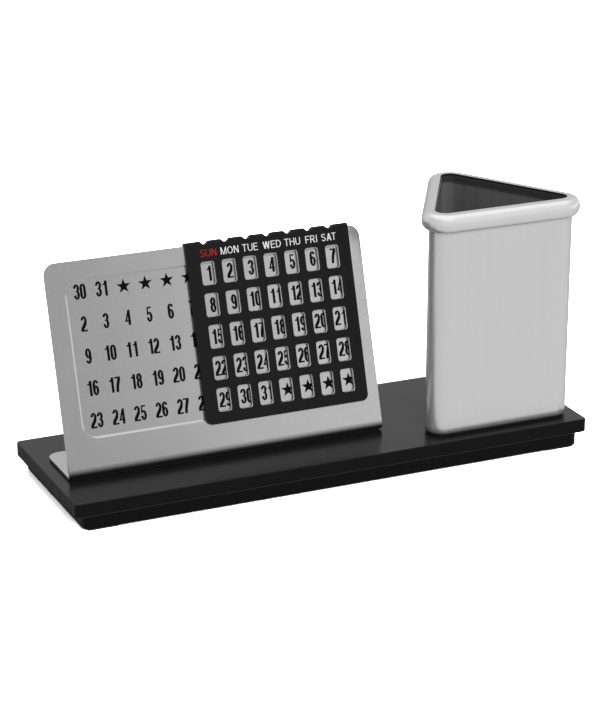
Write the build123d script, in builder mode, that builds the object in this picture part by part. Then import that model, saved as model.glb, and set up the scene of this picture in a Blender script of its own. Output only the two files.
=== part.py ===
from build123d import *
import os
from math import cos, radians, sin, sqrt, tan

# A perpetual desk calendar with a pen cup on one stepped base.
# Millimetres. X runs along the base, Y to the back, Z up; the origin is on the
# table under the middle of the base.

# Base: two boards, the lower one stepped in at the ends, on four thin pads
board_length = 248.0
board_depth = 80.5
board_thickness = 6.35
board_corner = 2.0
edge_break = 0.3
plinth_end_inset = 3.9
plinth_side_inset = 0.8
plinth_thickness = 6.35
plinth_corner = 4.0
foot_size = 14.0
foot_height = 0.8
foot_end_inset = 2.3
foot_side_inset = 1.2

plinth_z = foot_height
board_z = plinth_z + plinth_thickness
board_top = board_z + board_thickness
tape = 0.5
tape_inset = 2.0

# Calendar plate: one bent sheet, its panel leaning back over the flange
lean = 17.3
sheet = 1.0
plate_width = 149.4
plate_x = -43.0
panel_height = 93.9
bend_y = -15.8
bend_radius = 2.0
flange_rear_y = 16.5
plate_corner = 5.5
field_width = 134.0
field_height = 69.2
field_x = 0.6
field_y = 51.2
field_corner = 7.0
field_depth = 0.5
field_slope = 28.0
plate_z = board_top + tape

# Date slider: a folded sheet with seven by five windows, hooked over the panel
column_pitch = 10.0
row_pitch = 13.98
columns = 7
rows = 5
slider_sheet = 1.2
slider_width = 78.5
slider_x = 29.6
slider_bottom = 14.6
slider_corner = 3.0
slider_play = 0.1
slider_back_play = 0.15
fold_radius = 1.4
hook_drop = 7.0
window_width = 6.4
window_height = 10.4
window_corner = 1.2
window_x = 29.73
window_y = 52.9
notch_top = 4.4
notch_bottom = 1.9
notch_depth = 1.5

# Pen cup: a drawn three-sided shell with a rolled rim, and a liner under its lip
cup_side = 81.2
cup_corner = 7.2
cup_x = 83.6
cup_front = -33.7
cup_top = board_top + 103.9
cup_wall = 1.0
cup_bottom_radius = 1.5
cup_inner_bevel = 0.6
rim_reach = 3.35
rim_half_height = 4.25
rim_lip = 2.6
liner_gap = 0.2
liner_wall = 1.6
liner_outer_bevel = 1.0
liner_inner_bevel = 1.0
collar_depth = 2.7
collar_width = 0.5
cup_z = board_top + tape


def cup_outline(plane, inset):
    """The cup's rounded triangle on a plane, pulled in by a distance."""
    circumradius = cup_side / sqrt(3)
    middle_y = cup_front + circumradius / 2
    with BuildSketch(plane) as outline:
        with Locations((cup_x, middle_y)):
            RegularPolygon(circumradius, 3, rotation=90)
        fillet(outline.vertices(), cup_corner)
        if inset:
            offset(amount=-inset)
    return outline.sketch


def cup_core(inset, bottom, top, bevel):
    """A solid of the cup's outline between two heights, bevelled round its bottom."""
    with BuildPart() as core:
        add(cup_outline(Plane.XY.offset(bottom), inset))
        extrude(amount=top - bottom)
        chamfer(core.faces().sort_by(Axis.Z)[0].edges(), bevel)
    return core.part


# Upper board
with BuildPart() as base_board:
    with BuildSketch(Plane.XY.offset(board_z)):
        RectangleRounded(board_length, board_depth, board_corner)
    extrude(amount=board_thickness)
    chamfer(base_board.faces().filter_by(Axis.Z).edges(), edge_break)

# Lower board
plinth_length = board_length - 2 * plinth_end_inset
plinth_depth = board_depth - 2 * plinth_side_inset
with BuildPart() as base_plinth:
    with BuildSketch(Plane.XY.offset(plinth_z)):
        RectangleRounded(plinth_length, plinth_depth, plinth_corner)
    extrude(amount=plinth_thickness)
    chamfer(base_plinth.faces().sort_by(Axis.Z)[0].edges(), edge_break)

# Four thin pads under the corners of the lower board
foot_x = plinth_length / 2 - foot_end_inset - foot_size / 2
foot_y = plinth_depth / 2 - foot_side_inset - foot_size / 2


def build_foot(x, y):
    with BuildPart() as foot:
        with BuildSketch():
            with Locations((x, y)):
                Rectangle(foot_size, foot_size)
        extrude(amount=foot_height)
    return foot


feet = {
    "foot_front_left": build_foot(-foot_x, -foot_y),
    "foot_front_right": build_foot(foot_x, -foot_y),
    "foot_rear_left": build_foot(-foot_x, foot_y),
    "foot_rear_right": build_foot(foot_x, foot_y),
}

# Adhesive strip under the plate's flange, cut square
tape_front = bend_y + bend_radius / tan(radians(45 - lean / 2))
tape_rear = flange_rear_y - tape_inset
with BuildPart() as plate_tape:
    with BuildSketch(Plane.XY.offset(board_top)):
        with Locations((plate_x, (tape_front + tape_rear) / 2)):
            Rectangle(plate_width - 2 * tape_inset, tape_rear - tape_front)
    extrude(amount=tape)

# Bent plate with the recessed field for the numbers, which stands out at the back
panel = Plane(
    origin=(plate_x, bend_y, plate_z),
    x_dir=(1, 0, 0),
    z_dir=(0, -cos(radians(lean)), sin(radians(lean))),
)
panel_top_y = bend_y + panel_height * sin(radians(lean))
panel_top_z = plate_z + panel_height * cos(radians(lean))
with BuildPart() as calendar_plate:
    with BuildSketch(Plane.YZ.offset(plate_x - plate_width / 2)):
        with BuildLine():
            FilletPolyline(
                (flange_rear_y, plate_z),
                (bend_y, plate_z),
                (panel_top_y, panel_top_z),
                radius=bend_radius,
            )
            offset(amount=sheet, side=Side.RIGHT)
        make_face()
    extrude(amount=plate_width)
    top_corners = calendar_plate.edges().filter_by(Axis(panel.origin, panel.z_dir))
    fillet(top_corners.group_by(Axis.Z)[-1], plate_corner)
    rear_corners = calendar_plate.edges().filter_by(Axis.Z)
    fillet(rear_corners.group_by(Axis.Y)[-1], plate_corner)
    with BuildSketch(panel):
        with Locations((field_x, field_y)):
            RectangleRounded(field_width, field_height, field_corner)
    extrude(amount=-field_depth, taper=90 - field_slope, mode=Mode.SUBTRACT)
    with BuildSketch(panel.offset(-sheet)):
        with Locations((field_x, field_y)):
            RectangleRounded(field_width - field_depth, field_height - field_depth, field_corner)
    extrude(amount=-field_depth, taper=90 - field_slope)

# Slider folded over the top edge of the panel
slider_top = panel_height + slider_play + slider_sheet
slider_face = slider_play + slider_sheet
slider_back = -sheet - slider_back_play - slider_sheet
hook_end = slider_top - hook_drop
fold_plane = Plane(
    origin=panel.origin + panel.x_dir * (slider_x - slider_width / 2),
    x_dir=panel.y_dir,
    z_dir=panel.x_dir,
)
with BuildPart() as date_slider:
    with BuildSketch(fold_plane):
        with BuildLine():
            outside = FilletPolyline(
                (slider_bottom, slider_face),
                (slider_top, slider_face),
                (slider_top, slider_back),
                (hook_end, slider_back),
                radius=fold_radius,
            )
            Polyline(
                outside @ 1,
                (hook_end, slider_back + slider_sheet),
                (slider_top - slider_sheet, slider_back + slider_sheet),
                (slider_top - slider_sheet, slider_play),
                (slider_bottom, slider_play),
                outside @ 0,
            )
        make_face()
    extrude(amount=slider_width)
    lower_corners = date_slider.edges().filter_by(Axis(panel.origin, panel.z_dir))
    fillet(lower_corners.group_by(Axis.Z)[0], slider_corner)
    with BuildSketch(panel.offset(slider_face)):
        with Locations((window_x, window_y)):
            with GridLocations(column_pitch, row_pitch, columns, rows):
                RectangleRounded(window_width, window_height, window_corner)
    extrude(amount=-slider_sheet, mode=Mode.SUBTRACT)
    with BuildSketch(panel.offset(slider_face)):
        with Locations((window_x, slider_top)):
            with GridLocations(column_pitch, 0, columns, 1):
                Polygon(
                    (-notch_top / 2, 0),
                    (-notch_bottom / 2, -notch_depth),
                    (notch_bottom / 2, -notch_depth),
                    (notch_top / 2, 0),
                    align=None,
                )
    extrude(amount=slider_back - slider_face, mode=Mode.SUBTRACT)

# Adhesive pad under the cup
with BuildPart() as cup_tape:
    add(cup_outline(Plane.XY.offset(board_top), cup_bottom_radius))
    extrude(amount=tape)

# Cup shell: drawn body, and a sheet rim rolled outward and back in to a flat lip
wall_top = cup_top - 2 * rim_half_height + cup_wall
with BuildPart() as cup_shell:
    add(cup_outline(Plane.XY.offset(cup_z), 0))
    extrude(amount=wall_top - cup_z)
    fillet(cup_shell.faces().sort_by(Axis.Z)[0].edges(), cup_bottom_radius)
    add(cup_core(cup_wall, cup_z + cup_wall, wall_top, cup_inner_bevel), mode=Mode.SUBTRACT)
    rim_path = cup_outline(Plane.XY.offset(cup_top), 0).wire()
    travel = rim_path % 0
    inward = Vector(0, 0, 1).cross(travel)
    with BuildSketch(Plane(origin=rim_path @ 0, x_dir=inward, z_dir=travel)):
        with Locations((0, -rim_half_height)):
            Ellipse(rim_reach, rim_half_height)
            RegularPolygon(rim_reach - cup_wall, 6, rotation=30, mode=Mode.SUBTRACT)
            Rectangle(
                rim_reach,
                2 * rim_half_height,
                align=(Align.MIN, Align.CENTER),
                mode=Mode.SUBTRACT,
            )
        Rectangle(rim_lip, cup_wall, align=(Align.MIN, Align.MAX))
    sweep(path=rim_path)

# Liner with a collar under the shell's lip
liner_z = cup_z + cup_wall
liner_floor = liner_z + liner_wall
liner_top = cup_top - cup_wall
liner_outside = cup_wall + liner_gap
liner_inside = liner_outside + liner_wall
with BuildPart() as cup_liner:
    add(cup_core(liner_outside, liner_z, liner_top, liner_outer_bevel))
    add(cup_core(liner_inside, liner_floor, liner_top, liner_inner_bevel), mode=Mode.SUBTRACT)
    with BuildSketch(Plane.XY.offset(liner_top)):
        add(cup_outline(Plane.XY, liner_outside + liner_wall / 2))
        add(cup_outline(Plane.XY, liner_inside + collar_width), mode=Mode.SUBTRACT)
    extrude(amount=-collar_depth)

pieces = {
    "base_board": base_board,
    "base_plinth": base_plinth,
    **feet,
    "plate_tape": plate_tape,
    "calendar_plate": calendar_plate,
    "date_slider": date_slider,
    "cup_tape": cup_tape,
    "cup_shell": cup_shell,
    "cup_liner": cup_liner,
}
os.makedirs("parts", exist_ok=True)
for name, piece in pieces.items():
    piece.part.label = name
    export_step(piece.part, f"parts/{name}.step")
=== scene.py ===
from math import cos, pi, radians, sin

import bpy
from mathutils import Matrix, Vector
from mathutils.geometry import delaunay_2d_cdt


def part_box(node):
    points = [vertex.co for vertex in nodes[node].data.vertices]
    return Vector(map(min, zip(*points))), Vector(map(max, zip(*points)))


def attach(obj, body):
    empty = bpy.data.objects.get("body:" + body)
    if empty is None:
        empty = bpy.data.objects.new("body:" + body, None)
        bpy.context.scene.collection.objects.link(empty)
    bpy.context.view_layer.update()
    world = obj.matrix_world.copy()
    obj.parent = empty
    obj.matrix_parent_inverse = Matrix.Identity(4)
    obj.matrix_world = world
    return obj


# A perpetual desk calendar with a pen cup: its finishes and print, in a plain pale studio.
# Metres. X runs along the base, Y to the back, Z up from the table.

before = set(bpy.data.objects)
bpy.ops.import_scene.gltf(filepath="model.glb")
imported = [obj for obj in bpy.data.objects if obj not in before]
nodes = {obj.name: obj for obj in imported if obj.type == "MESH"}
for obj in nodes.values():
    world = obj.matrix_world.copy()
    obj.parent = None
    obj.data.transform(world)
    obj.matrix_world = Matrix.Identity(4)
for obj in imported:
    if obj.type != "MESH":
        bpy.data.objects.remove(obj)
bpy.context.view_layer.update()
MM = 0.001

# ---------------------------------------------------------------- camera
# The photograph's own viewpoint, solved from the straight edges of the object.
# Angles are in degrees, the lens and its sensor in millimetres, and the reach in metres.
CAMERA_PLACE = Vector((-428.8, -946.4, 421.3)) * MM
CAMERA_AZIMUTH = -24.253
CAMERA_ELEVATION = 19.808
CAMERA_ROLL = 0.028
CAMERA_LENS = 123.01
CAMERA_SENSOR = 36
CAMERA_REACH = 20


def make_camera():
    azimuth = radians(CAMERA_AZIMUTH)
    elevation = radians(CAMERA_ELEVATION)
    roll = radians(CAMERA_ROLL)
    back = Vector((sin(azimuth) * cos(elevation), -cos(azimuth) * cos(elevation), sin(elevation)))
    right = Vector((cos(azimuth), sin(azimuth), 0))
    up = back.cross(right)
    turned_right = right * cos(roll) + up * sin(roll)
    turned_up = up * cos(roll) - right * sin(roll)
    data = bpy.data.cameras.new("camera")
    data.sensor_fit = "AUTO"
    data.sensor_width = CAMERA_SENSOR
    data.lens = CAMERA_LENS
    data.clip_end = CAMERA_REACH
    camera = bpy.data.objects.new("camera", data)
    turn = Matrix((turned_right, turned_up, back)).transposed().to_4x4()
    camera.matrix_world = Matrix.Translation(CAMERA_PLACE) @ turn
    bpy.context.scene.collection.objects.link(camera)
    bpy.context.scene.camera = camera


# ---------------------------------------------------------------- the panel's frame
# x along the base from the plate's middle, up the slope from the bend, out of the face.
PLATE_LOW, PLATE_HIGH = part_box("calendar_plate")
PANEL_LEAN = radians(17.3)
PANEL_FOOT_Y = -15.8 * MM
PANEL_FOOT = Vector(((PLATE_LOW.x + PLATE_HIGH.x) / 2, PANEL_FOOT_Y, PLATE_LOW.z))
PANEL_UP = Vector((0, sin(PANEL_LEAN), cos(PANEL_LEAN)))
PANEL_OUT = Vector((0, -cos(PANEL_LEAN), sin(PANEL_LEAN)))


def on_panel(x, up, out):
    return PANEL_FOOT + Vector((x, 0, 0)) + PANEL_UP * up + PANEL_OUT * out


# ---------------------------------------------------------------- node trees
NOISE_ENDS = (0.3, 0.7)
NOISE_ROUGHNESS = 0.55


class Graph:
    """A tree of shader nodes, with short calls for what is built in it."""

    def __init__(self, tree, ramp="LINEAR"):
        self.tree = tree
        self.ramp = ramp

    def feed(self, value, socket):
        """Gives a socket what another node puts out, or a plain number or colour."""
        if isinstance(value, bpy.types.NodeSocket):
            self.tree.links.new(value, socket)
        else:
            socket.default_value = value

    def node(self, kind, inputs=None, **settings):
        """Adds a node, and feeds its inputs by their names or numbers."""
        made = self.tree.nodes.new(kind)
        for key, value in settings.items():
            setattr(made, key, value)
        for key, value in (inputs or {}).items():
            self.feed(value, made.inputs[key])
        return made

    def axis(self, vector, name):
        """One coordinate of a vector."""
        return self.node("ShaderNodeSeparateXYZ", {"Vector": vector}).outputs[name]

    def maths(self, operation, *values):
        inputs = dict(enumerate(values))
        return self.node("ShaderNodeMath", inputs, operation=operation).outputs["Value"]

    def times(self, *factors):
        """The product of its factors."""
        product = factors[0]
        for factor in factors[1:]:
            product = self.maths("MULTIPLY", product, factor)
        return product

    def spread(self, value, low, high, start, end):
        """Goes from low to high as a value goes from start to end, and stays there."""
        inputs = {"Value": value, "From Min": start, "From Max": end, "To Min": low, "To Max": high}
        ranged = self.node("ShaderNodeMapRange", inputs, interpolation_type=self.ramp)
        return ranged.outputs["Result"]

    def rise(self, value, start, end):
        """Goes from 0 to 1 as a value goes from start to end."""
        return self.spread(value, 0, 1, start, end)

    def fall(self, value, start, end):
        """Goes from 1 to 0 as a value goes from start to end."""
        return self.spread(value, 1, 0, start, end)

    def between(self, factor, first, second, kind="RGBA"):
        """Goes from the first colour to the second with a factor; of kind FLOAT, numbers."""
        inputs = {"Factor": factor, "A": first, "B": second}
        return self.node("ShaderNodeMix", inputs, data_type=kind).outputs["Result"]

    def either(self, factor, first, second):
        """The first shader where the factor is 0, and the second where it is 1."""
        inputs = {0: factor, 1: first, 2: second}
        return self.node("ShaderNodeMixShader", inputs).outputs["Shader"]


class Finish(Graph):
    """A material on one Principled shader, with patterns on the object's own coordinates."""

    def __init__(self, name, metallic=0.0, ior=1.5):
        self.material = bpy.data.materials.new(name)
        self.material.use_nodes = True
        super().__init__(self.material.node_tree)
        self.shader = self.tree.nodes["Principled BSDF"]
        self.place = self.node("ShaderNodeTexCoord").outputs["Object"]
        self.set("Metallic", metallic)
        self.set("IOR", ior)

    def set(self, name, value):
        self.feed(value, self.shader.inputs[name])

    def noise(self, scale, detail=3, stretch=(1, 1, 1)):
        """Fractal noise; scale is features per metre."""
        mapping = self.node("ShaderNodeMapping", {"Vector": self.place, "Scale": stretch})
        inputs = {
            "Vector": mapping.outputs["Vector"],
            "Scale": scale,
            "Detail": detail,
            "Roughness": NOISE_ROUGHNESS,
        }
        return self.node("ShaderNodeTexNoise", inputs).outputs["Fac"]

    def vary(self, noise, low, high):
        """A number that a noise takes from low to high."""
        return self.spread(noise, low, high, *NOISE_ENDS)

    def mottle(self, noise, dark, light):
        """A colour that a noise takes from dark to light."""
        return self.between(self.vary(noise, 0, 1), dark, light)

    def surface(self, name):
        """The Position or Normal of the surface, in the world."""
        return self.node("ShaderNodeNewGeometry").outputs[name]

    def bump(self, noise, height, strength):
        inputs = {"Height": noise, "Distance": height, "Strength": strength}
        self.set("Normal", self.node("ShaderNodeBump", inputs).outputs["Normal"])


# ---------------------------------------------------------------- materials
# Shades are linear. A pair of heights or of normal coordinates is where a change of
# shade starts and where it ends.


def grey(level):
    """A grey that is cooler by a hundredth."""
    return (level, level, level * 1.01, 1)


PLATE_METALLIC = 0.8
PLATE_SHADES = (grey(0.39), grey(0.41))
PLATE_ROUGHNESS = (0.14, 0.20)
# A painted reflection of the black board: a dark grey on the plate's front in its lowest few
# millimetres.
PAINTED_BEND_REFLECTION = grey(0.055)
BEND_HEIGHTS = (PLATE_LOW.z + 2.5 * MM, PLATE_LOW.z + 4.6 * MM)
BEND_NORMAL_Y = (-0.3, -0.1)


def plate_metal():
    """Satin anodised sheet: fine even grain, faint clouding, and a painted reflection of the black
    board low on its front, at the bend.
    """
    metal = Finish("plate_metal", metallic=PLATE_METALLIC)
    sheet = metal.mottle(metal.noise(scale=60, detail=2), *PLATE_SHADES)
    forward = metal.fall(metal.axis(metal.surface("Normal"), "Y"), *BEND_NORMAL_Y)
    low = metal.fall(metal.axis(metal.surface("Position"), "Z"), *BEND_HEIGHTS)
    # Forward faces low on the plate are painted dark, as the black board's reflection.
    metal.set("Base Color", metal.between(metal.times(forward, low), sheet, PAINTED_BEND_REFLECTION))
    metal.set("Roughness", metal.vary(metal.noise(scale=900, detail=4), *PLATE_ROUGHNESS))
    metal.bump(metal.noise(scale=1500, detail=2), height=0.003 * MM, strength=0.3)
    return metal.material


CUP_LOW, CUP_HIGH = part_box("cup_shell")
CUP_METALLIC = 0.66
CUP_SHADES = (grey(0.594), grey(0.606))
CUP_STREAK = (1, 1, 0.012)
CUP_ROUGHNESS = (0.22, 0.25)
CUP_UNEVENNESS = (0.92, 1.08)
GRAZING_TINT = grey(0.5)
RIM_SHADE = grey(0.635)
RIM_HEIGHTS = (CUP_HIGH.z - 8.6 * MM, CUP_HIGH.z - 8.2 * MM)
# Painted shade: the lip's inner edge face is coloured near black.
PAINTED_LIP_SHADE = grey(0.03)
LIP_HEIGHTS = (CUP_HIGH.z - 1.1 * MM, CUP_HIGH.z - 1.05 * MM)
LIP_NORMAL_Z = (0.3, 0.5)
# A painted reflection of the black board, darkening the wall's lowest few millimetres.
PAINTED_FOOT_REFLECTION = grey(0.32)
FOOT_HEIGHTS = (CUP_LOW.z + 2.1 * MM, CUP_LOW.z + 3.5 * MM)


def cup_metal():
    """Drawn satin metal: faint streaks, a lighter, softer rim, a painted reflection of the black
    board at the foot, and painted shade on the lip's inner edge.
    """
    metal = Finish("cup_metal", metallic=CUP_METALLIC)
    metal.set("Specular Tint", GRAZING_TINT)
    height = metal.axis(metal.surface("Position"), "Z")
    wall = metal.mottle(metal.noise(scale=500, stretch=CUP_STREAK), *CUP_SHADES)
    rim = metal.rise(height, *RIM_HEIGHTS)
    body = metal.between(rim, wall, RIM_SHADE)
    # The foot is painted darker, as the black board's reflection.
    with_painted_foot = metal.between(metal.fall(height, *FOOT_HEIGHTS), body, PAINTED_FOOT_REFLECTION)
    # The lip's upright inner edge face is painted dark, as shade at the rim's inner edge.
    upright = metal.fall(metal.axis(metal.surface("Normal"), "Z"), *LIP_NORMAL_Z)
    lip = metal.times(metal.rise(height, *LIP_HEIGHTS), upright)
    metal.set("Base Color", metal.between(lip, with_painted_foot, PAINTED_LIP_SHADE))
    uneven = metal.vary(metal.noise(scale=900), *CUP_UNEVENNESS)
    metal.set("Roughness", metal.times(metal.spread(rim, *CUP_ROUGHNESS, 0, 1), uneven))
    metal.bump(metal.noise(scale=1500, detail=2), height=0.003 * MM, strength=0.3)
    return metal.material


# The boards' shades and roughnesses are first for the sides, then for the top.
BOARD_SHADES = (0.0025, 0.009)
BOARD_ROUGHNESS = (0.55, 0.2)
BOARD_IOR = 1.2
PLINTH_SHADES = (0.002, 0.004)
PLINTH_ROUGHNESS = (0.42, 0.3)
PLINTH_IOR = 1.18
TOP_NORMAL_Z = (0.3, 0.9)
UNDER_NORMAL_Z = (-0.75, -0.6)
UNDER_SHADE = 0.08
LACQUER_GRAIN = (0.7, 1.3)
LACQUER_UNEVENNESS = (0.9, 1.15)


def black_lacquer(name, shades, roughness, ior):
    """Lacquered board, in which the faces that look down are greyer."""
    lacquer = Finish(name, ior=ior)
    facing = lacquer.axis(lacquer.surface("Normal"), "Z")
    top = lacquer.rise(facing, *TOP_NORMAL_Z)
    grain = lacquer.vary(lacquer.noise(scale=2400, detail=2), *LACQUER_GRAIN)
    black = lacquer.times(lacquer.spread(top, *shades, 0, 1), grain)
    under = lacquer.spread(facing, UNDER_SHADE, 0, *UNDER_NORMAL_Z)
    lacquer.set("Base Color", lacquer.maths("ADD", black, under))
    uneven = lacquer.vary(lacquer.noise(scale=300, detail=4), *LACQUER_UNEVENNESS)
    lacquer.set("Roughness", lacquer.times(lacquer.spread(top, *roughness, 0, 1), uneven))
    lacquer.bump(lacquer.noise(scale=420, detail=2), height=0.01 * MM, strength=0.2)
    return lacquer.material


SLIDER_LOW, SLIDER_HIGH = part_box("date_slider")
SLIDER_SHADES = (grey(0.005), grey(0.009))
SLIDER_ROUGHNESS = (0.38, 0.52)
CORE_SHADE = grey(0.9)
CORE_NORMAL_OUT = (0.3, 0.6)
CORE_X = (SLIDER_LOW.x + 5.2 * MM, SLIDER_HIGH.x - 5.2 * MM)
CORE_Z = (SLIDER_LOW.z + 3.0 * MM, SLIDER_HIGH.z - 6.9 * MM)
CORE_FADE = 0.1 * MM


def slider_coat():
    """Matt black sheet with a fine powder texture; within CORE_X and CORE_Z, which hold
    the windows and the hook's end, its cut edges show a pale core."""
    coat = Finish("slider_coat", ior=1.2)
    black = coat.mottle(coat.noise(scale=3000, detail=2), *SLIDER_SHADES)
    inputs = {0: coat.surface("Normal"), 1: PANEL_OUT}
    outward = coat.node("ShaderNodeVectorMath", inputs, operation="DOT_PRODUCT").outputs["Value"]
    core = coat.fall(coat.maths("ABSOLUTE", outward), *CORE_NORMAL_OUT)
    for name, (start, end) in (("X", CORE_X), ("Z", CORE_Z)):
        place = coat.axis(coat.place, name)
        after = coat.rise(place, start - CORE_FADE, start)
        before = coat.fall(place, end, end + CORE_FADE)
        core = coat.times(core, after, before)
    coat.set("Base Color", coat.between(core, black, CORE_SHADE))
    coat.set("Roughness", coat.vary(coat.noise(scale=1200), *SLIDER_ROUGHNESS))
    coat.bump(coat.noise(scale=2600), height=0.02 * MM, strength=0.3)
    return coat.material


LINER_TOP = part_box("cup_liner")[1].z
LINER_SHADES = (grey(0.1035), grey(0.1265))
LINER_STREAK = (1, 1, 0.03)
LINER_ROUGHNESS = (0.42, 0.55)
COLLAR_SHADE = grey(0.03)
COLLAR_HEIGHTS = (LINER_TOP - 2.65 * MM, LINER_TOP - 2.55 * MM)


def liner_plastic():
    """Moulded grey liner with faint draw marks, and a black collar round its top."""
    plastic = Finish("liner_plastic", ior=1.4)
    wall = plastic.mottle(plastic.noise(320, detail=2, stretch=LINER_STREAK), *LINER_SHADES)
    collar = plastic.rise(plastic.axis(plastic.surface("Position"), "Z"), *COLLAR_HEIGHTS)
    plastic.set("Base Color", plastic.between(collar, wall, COLLAR_SHADE))
    plastic.set("Roughness", plastic.vary(plastic.noise(scale=900), *LINER_ROUGHNESS))
    plastic.bump(plastic.noise(scale=2200, detail=2), height=0.02 * MM, strength=0.25)
    return plastic.material


RUBBER_SHADES = (grey(0.014), grey(0.026))
RUBBER_ROUGHNESS = 0.8


def soft_rubber(name):
    """Dark rubber or foam with a rough skin."""
    rubber = Finish(name)
    rubber.set("Base Color", rubber.mottle(rubber.noise(scale=1500), *RUBBER_SHADES))
    rubber.set("Roughness", RUBBER_ROUGHNESS)
    rubber.bump(rubber.noise(scale=2600), height=0.03 * MM, strength=0.5)
    return rubber.material


BLACK_INK = (grey(0.001), grey(0.003))
WHITE_INK = (grey(0.6), grey(0.7))
RED_INK = ((0.26, 0.014, 0.014, 1), (0.34, 0.022, 0.022, 1))
INK_ROUGHNESS = (0.5, 0.7)


def ink(name, shades):
    """Screen-printed ink: nearly flat, with a slight unevenness of cover."""
    paint = Finish(name, ior=1.15)
    paint.set("Base Color", paint.mottle(paint.noise(scale=2600), *shades))
    paint.set("Roughness", paint.vary(paint.noise(scale=1400), *INK_ROUGHNESS))
    paint.bump(paint.noise(scale=4000), height=0.004 * MM, strength=0.3)
    return paint.material


def dress(material, *names):
    """Gives CAD nodes a material."""
    for name in names:
        slots = nodes[name].data.materials
        slots.clear()
        slots.append(material)


# ---------------------------------------------------------------- strokes
# A glyph is a list of patches, each a list of corners, and patches may overlap.
# Its height is about 1, and it stands on y = 0 with its left side at x = 0.
FIGURE_WIDTH = 0.41
FIGURE_STEM = 0.172
FIGURE_BAR = 0.133
FIGURE_LOW = FIGURE_BAR / 2
FIGURE_HIGH = 1 - FIGURE_BAR / 2
FIGURE_REACH = (FIGURE_WIDTH - FIGURE_STEM) / 2
FLAT_TOP = 0.99


def arc(centre_y, rise, start, end, steps=12, reach=FIGURE_REACH, centre_x=FIGURE_WIDTH / 2):
    """An elliptical arc in degrees: each point, then the way to the left of the travel."""
    turn = -1 if end > start else 1
    points = []
    for step in range(steps + 1):
        angle = radians(start + (end - start) * step / steps)
        across = (turn * cos(angle), turn * sin(angle))
        points.append((centre_x + reach * cos(angle), centre_y + rise * sin(angle), *across))
    return points


def ring(centre_y, rise, reach=FIGURE_REACH, centre_x=FIGURE_WIDTH / 2):
    """A whole ellipse, without the last point, which is the first again."""
    return arc(centre_y, rise, 0, 360, 24, reach, centre_x)[:-1]


def ribbon(points, closed=False, stem=FIGURE_STEM, bar=FIGURE_BAR):
    """Quads along a centre line, thicker where it runs upright than across."""
    count = len(points)
    sides = []
    for index, point in enumerate(points):
        x, y = point[:2]
        if len(point) == 4:
            across = Vector((point[2] * stem / 2, point[3] * bar / 2))
        else:
            before = points[index - 1] if closed or index else point
            after = points[(index + 1) % count] if closed or index < count - 1 else point
            along = (Vector(after[:2]) - Vector(before[:2])).normalized()
            half = (stem * abs(along.y) + bar * abs(along.x)) / 2
            across = Vector((-along.y, along.x)) * half
        sides.append(((x + across.x, y + across.y), (x - across.x, y - across.y)))
    quads = []
    for index in range(count if closed else count - 1):
        first, second = sides[index], sides[(index + 1) % count]
        quads.append([first[0], first[1], second[1], second[0]])
    return quads


def block(left, low, right, high):
    return [[(left, low), (right, low), (right, high), (left, high)]]


def slant(low_left, high_left, width, low=0, high=1):
    """A sloping stroke of level width between two heights."""
    low_side = [(low_left, low), (low_left + width, low)]
    high_side = [(high_left + width, high), (high_left, high)]
    return [low_side + high_side]


# ---------------------------------------------------------------- figures
# Condensed bold figures, FIGURE_WIDTH wide.
FIGURE_BOWL = 0.215


def hung(rise, start, end):
    """An arc that touches the top of the figure."""
    return arc(FIGURE_HIGH - rise, rise, start, end)


def stood(rise, start, end):
    """An arc that touches the foot of the figure."""
    return arc(FIGURE_LOW + rise, rise, start, end)


def zero():
    whole = hung(FIGURE_BOWL, 0, 180) + stood(FIGURE_BOWL, 180, 360)
    return ribbon(whole, closed=True)


def one():
    left = 0.20
    right = left + FIGURE_STEM
    flag = [(0.075, 0.715), (left, 0.715), (left, 0.85), (right, FLAT_TOP)]
    hollow = [(0.235, FLAT_TOP), (0.215, 0.90), (0.165, 0.825), (0.075, 0.80)]
    return [flag + hollow] + block(left, 0, right, FLAT_TOP)


def two():
    slope = [(0.275, 0.50), (0.19, 0.36), (0.105, 0.235), (0.065, 0.13), (0.058, 0.02)]
    return ribbon(hung(FIGURE_BOWL, 175, -20) + slope) + block(0, 0, FIGURE_WIDTH, 0.112)


def three():
    upper = ribbon(hung(0.205, 178, -75))
    lower = ribbon(stood(0.235, 80, -178))
    return upper + lower + block(0.14, 0.485, 0.225, 0.57)


def four():
    left = 0.215
    overlap = left + 0.02
    slope = [(0, 0.225), (0.13, 0.225), (overlap, 0.70), (overlap, FLAT_TOP)]
    stem = block(left, 0, left + FIGURE_STEM, FLAT_TOP)
    return [slope] + stem + block(0, 0.225, FIGURE_WIDTH, 0.322)


def five():
    spine = [(0.035, 0.44), (0.135, 0.47), (0.155, FLAT_TOP), (0.06, FLAT_TOP)]
    return ribbon(stood(0.27, 128, -175)) + [spine] + block(0.06, 0.885, 0.365, FLAT_TOP)


def six():
    rise = 0.255
    left = FIGURE_STEM / 2
    back = hung(FIGURE_BOWL, 15, 180) + [(left, 0.5), (left, FIGURE_LOW + rise)]
    return ribbon(ring(FIGURE_LOW + rise, rise), closed=True) + ribbon(back)


def seven():
    sweep = [(0.33, 0.90), (0.28, 0.70), (0.215, 0.48), (0.175, 0.26), (0.16, 0.0)]
    bar = block(0.005, 0.885, FIGURE_WIDTH, FLAT_TOP)
    return bar + ribbon(sweep) + block(0.3, 0.86, FIGURE_WIDTH, FLAT_TOP)


def eight():
    upper = ring(FIGURE_HIGH - 0.205, 0.205, FIGURE_REACH * 0.92)
    lower = ring(FIGURE_LOW + 0.245, 0.245)
    return ribbon(upper, closed=True) + ribbon(lower, closed=True)


def nine():
    return [[(FIGURE_WIDTH - x, 1 - y) for x, y in patch] for patch in six()]


FIGURES = (zero, one, two, three, four, five, six, seven, eight, nine)


def star():
    """A star of five tips about the origin; the tips are at radius 1."""
    tips = 5
    notch_radius = 0.40
    points = []
    for corner in range(2 * tips):
        radius = notch_radius if corner % 2 else 1
        angle = pi / 2 + corner * pi / tips
        points.append((radius * cos(angle), radius * sin(angle)))
    return [points]


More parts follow.
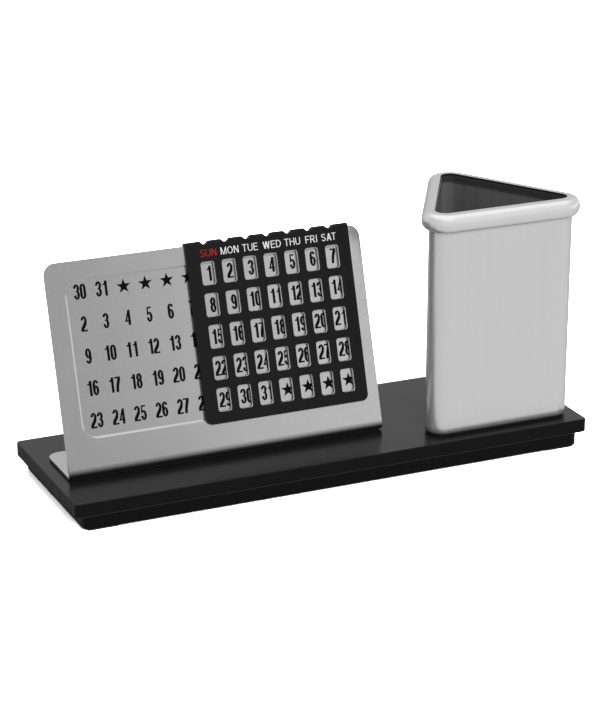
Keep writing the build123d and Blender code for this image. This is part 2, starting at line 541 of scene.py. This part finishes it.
# ---------------------------------------------------------------- capitals
# A plain bold sans, one high and as wide as LETTER_WIDTHS says.
LETTER_STEM = 0.12
LETTER_BAR = 0.105
LETTER_SLANT = 0.16
LETTER_LOW = LETTER_BAR / 2
LETTER_HIGH = 1 - LETTER_BAR / 2
LETTER_BOWL_LEFT = 0.08
LETTER_GAP = 0.15
LETTER_KERN = 0.10
LETTER_WIDTHS = {
    "S": 0.64, "U": 0.70, "N": 0.70, "M": 0.84, "O": 0.78, "T": 0.64, "E": 0.62,
    "W": 1.04, "D": 0.72, "H": 0.70, "F": 0.58, "R": 0.74, "I": 0.15, "A": 0.70,
}


def letter_ribbon(points, closed=False):
    return ribbon(points, closed, LETTER_STEM, LETTER_BAR)


def letter_arc(width, centre_y, rise, start, end):
    """An arc from side to side of a capital."""
    return arc(centre_y, rise, start, end, 12, (width - LETTER_STEM) / 2, width / 2)


def bowl(bend, low):
    """The round part of a D or an R: a bend and its level ends, down to a height."""
    upper_end = (LETTER_BOWL_LEFT, LETTER_HIGH)
    lower_end = (LETTER_BOWL_LEFT, low + LETTER_BAR / 2)
    return letter_ribbon([upper_end, *bend, lower_end])


def stroke(left):
    """An upright stroke of a capital."""
    return block(left, 0, left + LETTER_STEM, 1)


def sides(width):
    """The upright strokes at both sides of a capital."""
    return stroke(0) + stroke(width - LETTER_STEM)


def rungs(left, right, *middles):
    """Level strokes of a capital, by the heights of their middles."""
    strokes = []
    for middle in middles:
        strokes += block(left, middle - LETTER_BAR / 2, right, middle + LETTER_BAR / 2)
    return strokes


def capital_a(width):
    peak = (width - LETTER_SLANT) / 2
    legs = slant(0, peak, LETTER_SLANT) + slant(width - LETTER_SLANT, peak, LETTER_SLANT)
    return legs + rungs(0.14, width - 0.14, 0.29)


def capital_d(width):
    middle = width * 0.45 - LETTER_STEM / 2
    bend = arc(0.5, 0.5 - LETTER_LOW, 90, -90, 12, width * 0.55, middle)
    return stroke(0) + bowl(bend, 0)


def capital_e(width):
    return stroke(0) + rungs(0, width, LETTER_LOW, LETTER_HIGH) + rungs(0, width - 0.05, 0.53)


def capital_f(width):
    return stroke(0) + rungs(0, width, LETTER_HIGH) + rungs(0, width - 0.06, 0.51)


def capital_h(width):
    return sides(width) + rungs(0, width, 0.53)


def capital_i(_width):
    return stroke(0)


def capital_m(width):
    foot = (width - LETTER_STEM) / 2
    last = width - LETTER_STEM
    return sides(width) + slant(foot, 0, LETTER_STEM) + slant(foot, last, LETTER_STEM)


def capital_n(width):
    thick = LETTER_STEM + 0.04
    return sides(width) + slant(width - thick, 0, thick)


def capital_o(width):
    whole = ring(0.5, 0.5 - LETTER_LOW, (width - LETTER_STEM) / 2, width / 2)
    return letter_ribbon(whole, closed=True)


def capital_r(width):
    low = 0.44
    bend = arc((1 + low) / 2, (1 - low) / 2 - LETTER_LOW, 90, -90, 10, 0.20, 0.39)
    leg = slant(width - LETTER_SLANT - 0.02, 0.28, LETTER_SLANT, 0, 0.5)
    return stroke(0) + bowl(bend, low) + leg


def capital_s(width):
    upper = letter_arc(width, LETTER_HIGH - 0.205, 0.205, 20, 250)
    lower = letter_arc(width, LETTER_LOW + 0.225, 0.225, 70, -160)
    return letter_ribbon(upper + lower)


def capital_t(width):
    return rungs(0, width, LETTER_HIGH) + stroke((width - LETTER_STEM) / 2)


def capital_u(width):
    bend = letter_arc(width, LETTER_LOW + 0.28, 0.28, 180, 360)
    return letter_ribbon([(LETTER_STEM / 2, 1)] + bend + [(width - LETTER_STEM / 2, 1)])


def capital_w(width):
    step = (width - LETTER_SLANT) / 4
    strokes = []
    for first in (0, 2):
        strokes += slant((first + 1) * step, first * step, LETTER_SLANT)
        strokes += slant((first + 1) * step, (first + 2) * step, LETTER_SLANT)
    return strokes


CAPITALS = {
    "A": capital_a, "D": capital_d, "E": capital_e, "F": capital_f, "H": capital_h,
    "I": capital_i, "M": capital_m, "N": capital_n, "O": capital_o, "R": capital_r,
    "S": capital_s, "T": capital_t, "U": capital_u, "W": capital_w,
}


# ---------------------------------------------------------------- printing
# Places are in the panel's frame, and FIRST_COLUMN and FIRST_ROW are the middle of the
# grid's top left cell. The grid is turned by PRINT_TURN, in radians, but not its figures.
FIELD_DEPTH = 0.5 * MM
SLIDER_FACE = 1.3 * MM
INK_THICKNESS = 0.02 * MM
INSIDE_ONLY = 1
WELD = 1e-5

FIRST_COLUMN = -59.42 * MM
COLUMN_PITCH = 10.01 * MM
FIRST_ROW = 80.35 * MM
ROW_PITCH = 13.98 * MM
COLUMNS = 13
ROWS = 5
PRINT_TURN = 0.0066
FIGURE_HEIGHT = 6.7 * MM
FIGURE_ADVANCE = 2.88 * MM
STAR_RADIUS = 3.4 * MM
STAR_DROP = 0.3 * MM

WEEK = 7
FIRST_DATE_COLUMN = 6
TOP_LEFT_DATES = (30, 31)

DAY_MIDDLES = {
    "SUN": 0.8 * MM,
    "MON": 10.9 * MM,
    "TUE": 20.7 * MM,
    "WED": 31.2 * MM,
    "THU": 41.1 * MM,
    "FRI": 50.4 * MM,
    "SAT": 58.9 * MM,
}
DAY_UP = 89.8 * MM
DAY_HEIGHT = 3.25 * MM


def merged(patches):
    """One flat shape, as corners and triangles, from patches that may overlap."""
    corners = []
    faces = []
    for patch in patches:
        faces.append(list(range(len(corners), len(corners) + len(patch))))
        corners += [Vector(corner) for corner in patch]
    made = delaunay_2d_cdt(corners, [], faces, INSIDE_ONLY, WELD, True)
    flat, _, triangles, _, _, covers = made
    return flat, [triangle for triangle, cover in zip(triangles, covers) if cover]


class Print:
    """Flat shapes printed on one face, as thin closed prisms in one mesh."""

    def __init__(self, out):
        self.out = out
        self.corners = []
        self.faces = []

    def stamp(self, shape, x, up, size):
        """Adds a shape at a size, with its origin at x and up in the panel's frame."""
        flat, triangles = shape
        offset = len(self.corners)
        count = len(flat)
        for out in (self.out, self.out + INK_THICKNESS):
            for corner in flat:
                self.corners.append(on_panel(x + corner.x * size, up + corner.y * size, out))
        edges = set()
        for triangle in triangles:
            self.faces.append([offset + index for index in reversed(triangle)])
            self.faces.append([offset + count + index for index in triangle])
            edges.update(zip(triangle, triangle[1:] + triangle[:1]))
        for start, end in edges:
            if (end, start) not in edges:
                side = [start, end, end + count, start + count]
                self.faces.append([offset + index for index in side])

    def make_piece(self, name, material, body):
        mesh = bpy.data.meshes.new(name)
        mesh.from_pydata(self.corners, [], self.faces)
        mesh.materials.append(material)
        piece = bpy.data.objects.new(name, mesh)
        bpy.context.scene.collection.objects.link(piece)
        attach(piece, body)


def date_in(column, row):
    """The date printed in a cell of the grid, or None for a star."""
    if row == 0 and column < len(TOP_LEFT_DATES):
        return TOP_LEFT_DATES[column]
    date = column - FIRST_DATE_COLUMN + row * WEEK + 1
    return date if 1 <= date <= 31 else None


def stamp_date(dates, figures, date, x, up):
    """Adds a date's figures side by side about a point."""
    text = str(date)
    first_left = x - (len(text) - 1) / 2 * FIGURE_ADVANCE - FIGURE_WIDTH / 2 * FIGURE_HEIGHT
    for place, figure in enumerate(text):
        left = first_left + place * FIGURE_ADVANCE
        dates.stamp(figures[int(figure)], left, up - FIGURE_HEIGHT / 2, FIGURE_HEIGHT)


def print_dates():
    """The grid of dates in the plate's field, with a star in each cell that has none."""
    figures = [merged(draw()) for draw in FIGURES]
    star_shape = merged(star())
    dates = Print(-FIELD_DEPTH)
    stars = Print(-FIELD_DEPTH)
    for row in range(ROWS):
        for column in range(COLUMNS):
            x = FIRST_COLUMN + column * COLUMN_PITCH + row * ROW_PITCH * PRINT_TURN
            up = FIRST_ROW - row * ROW_PITCH + column * COLUMN_PITCH * PRINT_TURN
            date = date_in(column, row)
            if date is None:
                stars.stamp(star_shape, x, up - STAR_DROP, STAR_RADIUS)
            else:
                stamp_date(dates, figures, date, x, up)
    black = ink("black_ink", BLACK_INK)
    dates.make_piece("printed_dates", black, "stand")
    stars.make_piece("printed_stars", black, "stand")


def advance(name):
    """From the left of a capital to the next one's; what follows an A is tucked in."""
    return LETTER_WIDTHS[name] + LETTER_GAP - LETTER_KERN * (name == "A")


def print_days():
    """The day names on the slider's head, over its columns of windows."""
    shapes = {name: merged(draw(LETTER_WIDTHS[name])) for name, draw in CAPITALS.items()}
    white = ink("white_ink", WHITE_INK)
    red = ink("red_ink", RED_INK)
    for day, middle in DAY_MIDDLES.items():
        width = sum(advance(name) for name in day) - LETTER_GAP
        left = middle - width / 2 * DAY_HEIGHT
        day_name = Print(SLIDER_FACE)
        for name in day:
            day_name.stamp(shapes[name], left, DAY_UP - DAY_HEIGHT / 2, DAY_HEIGHT)
            left += advance(name) * DAY_HEIGHT
        paint = red if day == "SUN" else white
        day_name.make_piece("day_" + day.lower(), paint, "slider")


# ---------------------------------------------------------------- stage
FLOOR_REACH = 6.0
FLOOR_ALBEDO = 0.8
FLOOR_SEEN = 4.4

# The light tent, as strengths by the direction looked in. A pair is where a change
# starts and where it ends, as a coordinate of that direction, and FRONT_LOW is made of
# stops, each with an x and its strength.
TENT_CLOTH = 0.8
FILL = 0.6
FRONT_Y = (-0.75, -0.35)
FRONT_HIGH_Z = (0.3, 0.5)
FRONT_HIGH = 1.25
FRONT_LOW = ((0.0, 1.15), (0.22, 0.9), (0.30, 0.55), (0.36, 1.25), (0.41, 2.1), (0.46, 1.0))
REAR_Y = (0.2, 0.7)
REAR = 1.25
RIGHT_X = (0.6, 0.9)
RIGHT_LOW_Z = (0.12, 0.3)
RIGHT_GAIN = 0.9
OVERHEAD_Z = (0.6, 0.92)
OVERHEAD = 1.9
CURVE_TOP = 3.0

# The key's direction is from the object to the lamp, and its angle is in radians.
KEY_DIRECTION = (0.05, -1.0, 0.75)
KEY_STRENGTH = 2.5
KEY_ANGLE = 0.56


def white(level):
    return (level, level, level, 1)


def empty_graph(owner, ramp="LINEAR"):
    """The node tree of a material or a world, with nothing in it."""
    owner.use_nodes = True
    owner.node_tree.nodes.clear()
    return Graph(owner.node_tree, ramp)


def make_floor():
    """A matt white floor, which the camera alone sees far brighter, so that it shows white."""
    left, right = -FLOOR_REACH, FLOOR_REACH
    corners = [(left, left, 0), (right, left, 0), (right, right, 0), (left, right, 0)]
    mesh = bpy.data.meshes.new("floor")
    mesh.from_pydata(corners, [], [(0, 1, 2, 3)])
    floor = bpy.data.objects.new("floor", mesh)
    bpy.context.scene.collection.objects.link(floor)
    material = bpy.data.materials.new("floor")
    paint = empty_graph(material)
    matt = paint.node("ShaderNodeBsdfDiffuse", {"Color": white(FLOOR_ALBEDO)}).outputs["BSDF"]
    seen = paint.node("ShaderNodeBsdfDiffuse", {"Color": white(FLOOR_SEEN)}).outputs["BSDF"]
    camera_ray = paint.node("ShaderNodeLightPath").outputs["Is Camera Ray"]
    paint.node("ShaderNodeOutputMaterial", {"Surface": paint.either(camera_ray, matt, seen)})
    mesh.materials.append(material)


def curve(graph, value, stops):
    """A smooth curve through (value, strength) stops; strengths stay under CURVE_TOP."""
    made = graph.node("ShaderNodeValToRGB", {"Fac": value})
    made.color_ramp.interpolation = "EASE"
    elements = made.color_ramp.elements
    while len(elements) < len(stops):
        elements.new(1.0)
    for element, (position, strength) in zip(elements, stops):
        element.position = position
        element.color = white(strength / CURVE_TOP)
    return graph.times(made.outputs["Color"], CURVE_TOP)


def background(graph, level, strength):
    inputs = {"Color": white(level), "Strength": strength}
    return graph.node("ShaderNodeBackground", inputs).outputs["Background"]


def tent_strength(sky):
    """Brighter behind, overhead and low on the right, with a dark and a light streak low
    in front."""
    direction = sky.node("ShaderNodeTexCoord").outputs["Generated"]
    x, y, z = [sky.axis(direction, name) for name in "XYZ"]
    front_low = curve(sky, x, FRONT_LOW)
    front = sky.between(sky.rise(z, *FRONT_HIGH_Z), front_low, FRONT_HIGH, "FLOAT")
    rear = sky.spread(y, 1, REAR, *REAR_Y)
    around = sky.between(sky.fall(y, *FRONT_Y), rear, front, "FLOAT")
    gain = sky.spread(x, 0, RIGHT_GAIN, *RIGHT_X)
    right = sky.maths("MULTIPLY_ADD", sky.fall(z, *RIGHT_LOW_Z), gain, 1)
    return sky.times(around, right, sky.spread(z, 1, OVERHEAD, *OVERHEAD_Z))


def make_world():
    """A light tent for what mirrors it, an even fill for the rest, and white for the camera."""
    world = bpy.data.worlds.new("studio")
    bpy.context.scene.world = world
    sky = empty_graph(world, "SMOOTHSTEP")
    path = sky.node("ShaderNodeLightPath").outputs
    mirrored = sky.maths("MAXIMUM", path["Is Glossy Ray"], path["Is Transmission Ray"])
    tent = background(sky, TENT_CLOTH, tent_strength(sky))
    light = sky.either(mirrored, background(sky, TENT_CLOTH, FILL), tent)
    shown = sky.either(path["Is Camera Ray"], light, background(sky, 1, 1))
    sky.node("ShaderNodeOutputWorld", {"Surface": shown})


def add_key():
    """A soft sun from the front and above, without a mirror image of its own."""
    data = bpy.data.lights.new("key", "SUN")
    data.energy = KEY_STRENGTH
    data.angle = KEY_ANGLE
    lamp = bpy.data.objects.new("key", data)
    lamp.location = KEY_DIRECTION
    lamp.rotation_euler = Vector(KEY_DIRECTION).to_track_quat("Z", "Y").to_euler()
    lamp.visible_glossy = False
    bpy.context.scene.collection.objects.link(lamp)


make_camera()
dress(plate_metal(), "calendar_plate")
dress(cup_metal(), "cup_shell")
dress(black_lacquer("board_lacquer", BOARD_SHADES, BOARD_ROUGHNESS, BOARD_IOR), "base_board")
dress(black_lacquer("plinth_lacquer", PLINTH_SHADES, PLINTH_ROUGHNESS, PLINTH_IOR), "base_plinth")
dress(slider_coat(), "date_slider")
dress(liner_plastic(), "cup_liner")
dress(soft_rubber("foot_rubber"), *[name for name in nodes if name.startswith("foot_")])
dress(soft_rubber("tape_foam"), "plate_tape", "cup_tape")
print_dates()
print_days()
make_floor()
make_world()
add_key()
bpy.context.scene.view_settings.view_transform = "Standard"
